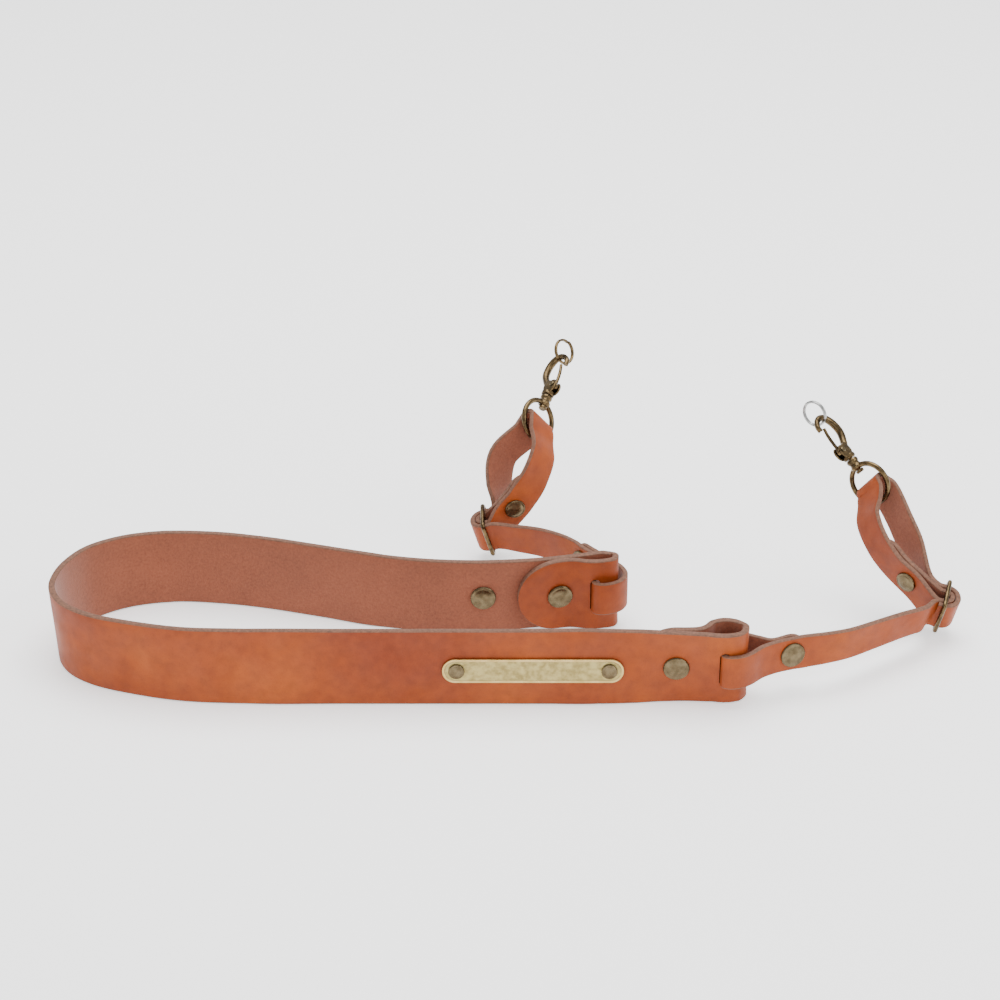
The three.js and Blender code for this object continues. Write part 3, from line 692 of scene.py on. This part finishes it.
# %% The connectors
BAND_STEPS = 8
connectors = {}
for name, side in SIDES.items():
    route, seats = connector_route(side)
    connectors[name] = seats
    bm, sections = leather(route, BAND_WIDTH, BAND_THICK, side["grain"], BAND_STEPS)
    replaced = ["connector_" + name]
    finish_object("connector_leather_" + name, bm, leather_finishes, "strap", replaced)
    print("connector", name, sections, "sections")

# %% [markdown]
# Rivets and collars are turned shapes: an outline spun round an axis. A cap has a rolled rim and a
# shallow dome that is set a little lower, which is what catches the bright line of light on its upper
# side.

# %% Turned shapes
def turned_into(bm, outline, center, across, axis, segments=40):
    """Spins (radius, height) points round the axis through the centre, closed where the radius is 0."""
    third = across.cross(axis)
    rings = []
    for radius, height in outline:
        count = 1 if radius == 0 else segments
        ring = []
        for i in range(count):
            angle = 2 * math.pi * i / segments
            offset = (across * math.cos(angle) + third * math.sin(angle)) * radius
            ring.append(bm.verts.new(framed(center + axis * height + offset)))
        rings.append(ring)
    for one, two in zip(rings, rings[1:]):
        for i in range(segments):
            j = (i + 1) % segments
            loop = [one[i % len(one)], one[j % len(one)], two[j % len(two)], two[i % len(two)]]
            bm.faces.new(list(dict.fromkeys(loop)))


CAP_PROFILE = [(0.485, 0), (0.5, 0.12), (0.5, 0.42), (0.475, 0.66), (0.43, 0.74), (0.4, 0.7), (0.375, 0.78),
               (0.25, 0.93), (0.12, 0.99), (0, 1)]
CAP_GAP, SHANK_RADIUS = 0.12, 1.5


def rivet_piece(name, seat, grip, cap, height):
    """Two caps on a shank; the profile gives a cap's radius and height as shares of its width and height."""
    at, edge, face = seat
    half = grip / 2 + CAP_GAP
    upper = [(r * cap, half + h * height) for r, h in CAP_PROFILE]
    outline = [(r, -h) for r, h in reversed(upper)] + [(SHANK_RADIUS, -half), (SHANK_RADIUS, half)] + upper
    bm = bmesh.new()
    turned_into(bm, outline, at, edge, face)
    finish_object(name + "_cap", bm, [rivet_metal], "strap", [name])


def neck_seat(index, toward=None):
    """A rivet's seat: in the middle of one layer, or between it and a second one that lies toward a side."""
    at, along, edge, face = neck.frame(index)
    if toward is None:
        return at, edge, face
    return at + face * math.copysign((NECK_THICK + LAY_GAP) / 2, face.dot(toward)), edge, face


# %% [markdown]
# Each rivet is seated in the middle of what it holds. Where it joins two layers, that middle lies half a
# layer to one side of the strap's own route; the spare rivet grips a single layer.

# %% The rivets in the leather
RIVET_CAP, SMALL_CAP, RIVET_HEIGHT = 12, 10.2, 1.6
two_neck, two_band = 2 * NECK_THICK + LAY_GAP, 2 * BAND_THICK + LAY_GAP
BACKWARDS, FORWARDS = Vector((0, 1, 0)), Vector((0, -1, 0))
FRONT_IN, BACK_IN, SPARE_IN = 0.35, 0.45, 3  # stations in from the arm's own end
front_seat = neck_seat(arm_start + FRONT_IN, BACKWARDS)
back_seat = neck_seat(arm_stop - BACK_IN, FORWARDS)
spare_seat = neck_seat(arm_stop - SPARE_IN)
rivet_piece("rivet_front_end", front_seat, two_neck, RIVET_CAP, RIVET_HEIGHT)
rivet_piece("rivet_back_end", back_seat, two_neck, RIVET_CAP, RIVET_HEIGHT)
rivet_piece("rivet_spare", spare_seat, NECK_THICK, RIVET_CAP, RIVET_HEIGHT)
for name, (fold_seat, loop_seat) in connectors.items():
    rivet_piece("rivet_fold_" + name, fold_seat, two_band, RIVET_CAP, RIVET_HEIGHT)
    rivet_piece("rivet_loop_" + name, loop_seat, two_band, SMALL_CAP, RIVET_HEIGHT)
print("rivets grip", two_neck, "and", two_band, "mm of leather")

# %% [markdown]
# The name plate is a thin strip of pale brass with round ends and a raised rim. Its field is left mottled
# and bare. One outline is drawn several times, each set in and sunk a little more, which rolls the rim
# over.

# %% The name plate
plate_low, plate_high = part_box("name_plate")
plate_mid = (plate_low + plate_high) / 2 / MM + ORIGIN
PLATE_LENGTH, PLATE_HEIGHT, PLATE_THICK = 82.5, 12.2, 1.0
PLATE_ROUND, PLATE_END_STEPS = 6.0, 16
PLATE_PROFILE = [(0.35, PLATE_THICK), (0, PLATE_THICK - 0.25), (0, 0.3), (0.12, 0.08), (0.35, 0), (0.95, 0),
                 (1.15, 0.1), (1.3, 0.25)]
PLATE_RIVET_INSET, PLATE_RIVET_DEPTH = 6.6, 1.7
PLATE_GRIP, PLATE_CAP, PLATE_CAP_HEIGHT = 4.4, 7.3, 1.0


def plate_ring(bm, inset, depth):
    """One outline of the plate with round ends, set in from its edge, at a depth from its front."""
    half, radius = PLATE_LENGTH / 2 - PLATE_ROUND, PLATE_ROUND - inset
    ring = []
    for sign in (1, -1):
        for step in range(PLATE_END_STEPS + 1):
            angle = math.radians(-90 + 180 * step / PLATE_END_STEPS)
            x = sign * (half + radius * math.cos(angle))
            z = sign * radius * math.sin(angle)
            z += math.copysign(PLATE_HEIGHT / 2 - PLATE_ROUND, z) if abs(z) > 1e-6 else 0
            y = -PLATE_THICK / 2 + depth
            ring.append(bm.verts.new(framed(plate_mid + Vector((x, y, z)))))
    return ring


bm = bmesh.new()
rings = [plate_ring(bm, inset, depth) for inset, depth in PLATE_PROFILE]
stitch(bm, rings)
bm.faces.new(rings[0])
bm.faces.new(rings[-1]).material_index = 1
finish_object("name_plate_strip", bm, [plate_metal, field_metal], "strap", ["name_plate"])
for number, sign in ((1, -1), (2, 1)):
    along_plate = Vector((sign * (PLATE_LENGTH / 2 - PLATE_RIVET_INSET), PLATE_RIVET_DEPTH, 0))
    seat = (plate_mid + along_plate, UP, BACKWARDS)
    rivet_piece("rivet_plate_%d" % number, seat, PLATE_GRIP, PLATE_CAP, PLATE_CAP_HEIGHT)
print("name plate", PLATE_LENGTH, "x", PLATE_HEIGHT, "mm, its middle above the table", round(plate_mid.z, 1))

# %% [markdown]
# Wire parts are round bars bent to shape. A tube is swept along a list of points; on a ring the list
# closes on itself. The sliders, eye rings, hooks and split rings are all made this way, with small turned
# parts added.

# %% Wire shapes
def wire_into(bm, points, radii, closed=False, sides=14, start=None):
    """A round bar along the points; radii is one radius, or a list of one for each point."""
    count = len(points)
    turns = [2 * math.pi * k / sides for k in range(sides)]
    rings = []
    normal = start
    for i, p in enumerate(points):
        after = points[(i + 1) % count] if closed or i + 1 < count else p
        before = points[i - 1] if closed or i > 0 else p
        along = (after - before).normalized()
        if normal is None:
            normal = along.orthogonal()
        normal = square_to(normal, along)
        third = along.cross(normal)
        radius = radii[i] if isinstance(radii, list) else radii
        around = [p + (normal * math.cos(t) + third * math.sin(t)) * radius for t in turns]
        rings.append([bm.verts.new(framed(spot)) for spot in around])
    stitch(bm, rings, closed=closed)
    if not closed:
        bm.faces.new(rings[0])
        bm.faces.new(rings[-1])


def circle(center, one, two, radius, count=64):
    turns = [2 * math.pi * i / count for i in range(count)]
    return [center + (one * math.cos(t) + two * math.sin(t)) * radius for t in turns]


# %% [markdown]
# The slider is a rectangular rim with a middle bar. The connector's end is riveted round the bar, and the
# strap turns round it once more on the outside, so that its length can be set. The rim is one wire with
# four round corners, closed on itself, and the bar is a second wire.

# %% Sliders
SLIDER_CORNER, CORNER_STEPS = 2.0, 6
SLIDER_RIM_RADIUS, SLIDER_BAR_RADIUS = 1.08, 0.95
SLIDER_PLAY, SLIDER_END_HALF = 0.6, 0.85


def slider_piece(name, side):
    bm = bmesh.new()
    a = SLIDER_HOLE + SLIDER_RAIL / 2
    b = BAND_WIDTH / 2 + SLIDER_PLAY + SLIDER_END_HALF
    u, v = a - SLIDER_CORNER, b - SLIDER_CORNER
    rim = []
    for cx, cy, start in ((u, v, 0), (-u, v, 90), (-u, -v, 180), (u, -v, 270)):
        for step in range(CORNER_STEPS + 1):
            angle = math.radians(start + 90 * step / CORNER_STEPS)
            deep, along = cx + SLIDER_CORNER * math.cos(angle), cy + SLIDER_CORNER * math.sin(angle)
            rim.append(side["slider"] + side["deep"] * deep + side["bar"] * along)
    wire_into(bm, rim, SLIDER_RIM_RADIUS, closed=True, start=side["out"])
    middle = [side["slider"] + side["bar"] * b * k for k in (-1, -0.5, 0, 0.5, 1)]
    wire_into(bm, middle, SLIDER_BAR_RADIUS)
    finish_object("slider_wire_" + name, bm, [hardware_metal], "strap", ["slider_" + name])


print("a slider leaves", round(SLIDER_HOLE - SLIDER_BAR / 2, 2), "mm on each side of its bar")

# %% [markdown]
# The eye ring is a round wire that the connector loops through. The collar on it is a turned bead with a
# waist, in which the hook's stem swivels, so it is drawn as one outline and spun round the hook's axis.

# %% Eye rings and their collars
COLLAR_PROFILE = [(0, COLLAR_START), (2.2, COLLAR_START), (2.9, 9.2), (3, 10.4), (2.5, 11.2), (2.4, 12),
                  (2.9, 12.8), (3, 13.7), (2.6, COLLAR_END), (0, COLLAR_END)]


def eye_piece(name, side):
    bm = bmesh.new()
    third = side["near_to_far"].cross(side["axis"])
    wire_into(bm, circle(side["eye"], side["axis"], third, EYE_RADIUS), EYE_WIRE / 2, closed=True)
    turned_into(bm, COLLAR_PROFILE, side["eye"], side["near_to_far"], side["axis"])
    finish_object("eye_ring_wire_" + name, bm, [hardware_metal], "strap", ["eye_ring_" + name])


print("eye ring", 2 * EYE_RADIUS + EYE_WIRE, "mm outside, with a collar to", COLLAR_END, "mm from its centre")

# %% [markdown]
# The trigger hook is a cast piece: a turned foot that swivels in the collar, two cheeks that hold the
# gate's pin, and a bent bar that thins towards its nose. Hook points are (x, y): x towards the hook's
# back, y along its axis from the foot. The bar's heights are shares of the hook's length, so that a longer
# hook keeps its form.

# %% The hook's cheeks
CHEEK = [(-2.2, 0.9), (-4.6, 2.6), (-5.0, 6.2), (-3.6, 8.2), (-1.2, 8.0), (1.2, 8.6), (2.2, 6.4), (2.0, 2.4)]
CHEEK_HALF, CHEEK_APART, CHEEK_STEPS = 0.62, 1.9, 5
CHEEK_ROLL = [(0.8, -1), (0.94, -0.8), (1, -0.3), (1, 0.3), (0.94, 0.8), (0.8, 1)]


def rounded_cheek(bm, corners, place):
    """A plate with a smooth closed outline and rolled edges; place(point, height) says where a point lies."""
    count = len(corners)
    wrapped = [corners[(i - 1) % count] for i in range(count + 4)]
    outline = [smooth(wrapped, 1 + i / CHEEK_STEPS) for i in range(count * CHEEK_STEPS)]
    middle = sum(outline, Vector()) / len(outline)
    rings = []
    for share, height in CHEEK_ROLL:
        spots = [place(middle + (q - middle) * share, height * CHEEK_HALF) for q in outline]
        rings.append([bm.verts.new(framed(spot)) for spot in spots])
    stitch(bm, rings)
    bm.faces.new(rings[0])
    bm.faces.new(rings[-1])


print("a cheek is", 2 * CHEEK_HALF, "mm thick")

# %% [markdown]
# The bar of the hook is swept as a wire that swells along its back and thins towards its nose, as a casting
# does. The foot and the stem are turned, and the two cheeks stand on either side of the gate.

# %% The hook
HOOK_PATH = [(0, 0.03), (0.4, 0.16), (3.6, 0.34), (6.4, 0.56), (5.9, 0.8), (3.2, 0.96), (0, 1), (-3, 0.95),
             (-4.7, 0.86), (-4.8, 0.76)]
HOOK_STEPS, HOOK_SIDES = 60, 16
HOOK_THIN, HOOK_SWELL, SWELL_END = 1.3, 0.55, 1.25
FOOT_PROFILE = [(0, 0), (2.7, 0), (3.2, 0.5), (3.2, 1.9), (2.6, 2.6), (0, 2.8)]
STEM_HEAD = COLLAR_START - RUN_GAP
STEM_PROFILE = [(0, STEM_HEAD - 1.4), (1.7, STEM_HEAD - 1.4), (2, STEM_HEAD - 1), (2, STEM_HEAD),
                (1, STEM_HEAD), (1, HOOK_BASE), (0, HOOK_BASE)]


def hook_piece(name, side):
    back, axis = side["near_to_far"], side["axis"]
    flat = back.cross(axis)

    def at(x, y, z=0):
        return side["eye"] + back * x + axis * y + flat * z

    bm = bmesh.new()
    path = [Vector((x, HOOK_BASE + y * HOOK_LENGTH, 0)) for x, y in HOOK_PATH]
    shares = [i / HOOK_STEPS for i in range(HOOK_STEPS + 1)]
    fine = [smooth(path, share * (len(path) - 1)) for share in shares]
    radii = [HOOK_THIN + HOOK_SWELL * math.sin(math.pi * min(1, SWELL_END * share)) for share in shares]
    wire_into(bm, [at(p.x, p.y) for p in fine], radii, sides=HOOK_SIDES, start=flat)
    turned_into(bm, [(r, HOOK_BASE + h) for r, h in FOOT_PROFILE], side["eye"], back, axis)
    turned_into(bm, STEM_PROFILE, side["eye"], back, axis)
    cheek = [Vector((x, HOOK_BASE + y, 0)) for x, y in CHEEK]
    for z in (-CHEEK_APART, CHEEK_APART):
        rounded_cheek(bm, cheek, lambda q, height, z=z: at(q.x, q.y, z + height))
    body = "hook_%s_body" % name
    finish_object("hook_cast_" + name, bm, [hardware_metal], body, ["hook_" + name])


print("hook, from its foot to the middle of its bend,", HOOK_LENGTH, "mm")

# %% [markdown]
# The gate closes the hook's mouth. It is a lever of its own that swings on a small turned pin through
# both cheeks, so it rides on its own body, while the pin stays with the hook.

# %% Gates and their pins
PIN_X, PIN_Y = -3, HOOK_BASE + 5.5
GATE_THICK = 1.7
GATE_PATH = [Vector((0, 0, 0)), Vector((-0.15, 4.6, 0)), Vector((0.25, 9.3, 0)), Vector((1.4, 13.6, 0))]
GATE_STEPS, GATE_RADIUS, GATE_TAPER = 24, 1.0, 0.25
KNUCKLE = [(0, -0.85), (1.5, -0.85), (1.7, -0.6), (1.7, 0.6), (1.5, 0.85), (0, 0.85)]
PIN_PROFILE = [(0, -3.3), (0.9, -3.2), (1.3, -2.85), (0.7, -2.8), (0.7, 2.8), (1.3, 2.85), (0.9, 3.2),
               (0, 3.3)]
PIN_SEGMENTS = 24


def pin_middle(side):
    return side["eye"] + side["near_to_far"] * PIN_X + side["axis"] * PIN_Y


def gate_piece(name, side):
    back, axis = side["near_to_far"], side["axis"]
    flat = back.cross(axis)
    bm = bmesh.new()
    shares = [i / GATE_STEPS for i in range(GATE_STEPS + 1)]
    fine = [smooth(GATE_PATH, share * (len(GATE_PATH) - 1)) for share in shares]
    radii = [min(GATE_RADIUS - GATE_TAPER * share, GATE_THICK / 2) for share in shares]
    origin = pin_middle(side)
    wire_into(bm, [origin + back * p.x + axis * p.y for p in fine], radii, start=flat)
    turned_into(bm, KNUCKLE, origin, back, flat)
    body = "gate_%s_body" % name
    finish_object("gate_lever_" + name, bm, [hardware_metal], body, ["gate_" + name])


def pin_piece(name, side):
    back, axis = side["near_to_far"], side["axis"]
    bm = bmesh.new()
    turned_into(bm, PIN_PROFILE, pin_middle(side), back, back.cross(axis), PIN_SEGMENTS)
    body = "hook_%s_body" % name
    finish_object("gate_pin_turned_" + name, bm, [rivet_metal], body, ["gate_pin_" + name])


print("gate pins, in the frame's metres", [tuple(framed(pin_middle(side))) for side in SIDES.values()])

# %% [markdown]
# A split ring is one wire wound twice, as on a key ring, so that it can be threaded onto a lug. The two
# turns are a short helix, whose pitch lays them side by side.

# %% Split rings
RING_TURNS, RING_POINTS, RING_PITCH = 2, 56, 1.25
COIL_WIRE_RADIUS, COIL_SIDES = 0.6, 10


def ring_piece(name, side, metal):
    bm = bmesh.new()
    axis, back = side["axis"], side["near_to_far"]
    third = back.cross(axis)
    center = side["eye"] + axis * RING_AT
    count = RING_TURNS * RING_POINTS
    points = []
    for i in range(count + 1):
        angle = 2 * math.pi * i / RING_POINTS
        shift = back * RING_PITCH * (i / count - 0.5)
        points.append(center + (axis * math.cos(angle) + third * math.sin(angle)) * RING_RADIUS + shift)
    wire_into(bm, points, COIL_WIRE_RADIUS, sides=COIL_SIDES, start=back)
    body = "hook_%s_body" % name
    finish_object("split_ring_coil_" + name, bm, [metal], body, ["split_ring_" + name])


print("split ring", 2 * (RING_RADIUS + COIL_WIRE_RADIUS), "mm outside")

# %% [markdown]
# Now the small metal is made, one side after the other. Both split rings are steel. The right one is
# drawn in bright steel; the left one lies in shade, so its hook's dark brass paints that shade on it.

# %% The small metal of both sides
for name, side in SIDES.items():
    slider_piece(name, side)
    eye_piece(name, side)
    hook_piece(name, side)
    gate_piece(name, side)
    pin_piece(name, side)
    # The left ring's brass is painted shade on what is a steel ring.
    ring_piece(name, side, ring_metal if name == "right" else hardware_metal)
